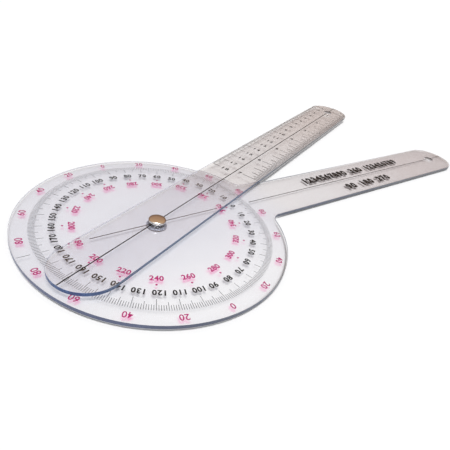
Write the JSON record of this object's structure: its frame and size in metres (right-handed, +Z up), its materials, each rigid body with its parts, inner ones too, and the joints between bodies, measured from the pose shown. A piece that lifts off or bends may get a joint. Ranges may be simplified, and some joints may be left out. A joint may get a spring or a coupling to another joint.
{
  "type": "two-arm protractor goniometer",
  "caption": "Clear plastic full-circle protractor head with a fixed arm and a ruled moving arm turning on a domed metal rivet, for measuring joint angles.",
  "frame": {"origin": "on the pivot axis, on the flat bottom of the rivet's base cap, the plane the instrument rests on", "axes": "+X along the fixed arm from the pivot to its tip, +Z up along the rivet from the fixed arm to the moving arm"},
  "size_m": [0.3099, 0.1639, 0.006],
  "materials": {
    "clear_sheet": "clear, polished, cool grey tint",
    "clear_sheet_upper": "clear, polished, faint warm tint",
    "nickel_plate": "bright nickel plate",
    "rivet_tube": "plain drawn metal"
  },
  "bodies": {
    "fixed_body": {"fixed_arm": "clear_sheet", "rivet_top_cap": "nickel_plate", "rivet_post": "rivet_tube", "rivet_socket": "rivet_tube", "rivet_base_cap": "nickel_plate"},
    "moving_body": {"moving_arm": "clear_sheet_upper"}
  },
  "joints": [
    {"name": "arm_pivot", "type": "hinge", "parent": "fixed_body", "child": "moving_body", "pos_m": [0, 0, 0.0037], "axis": [0, 0, 1], "continuous": true}
  ]
}
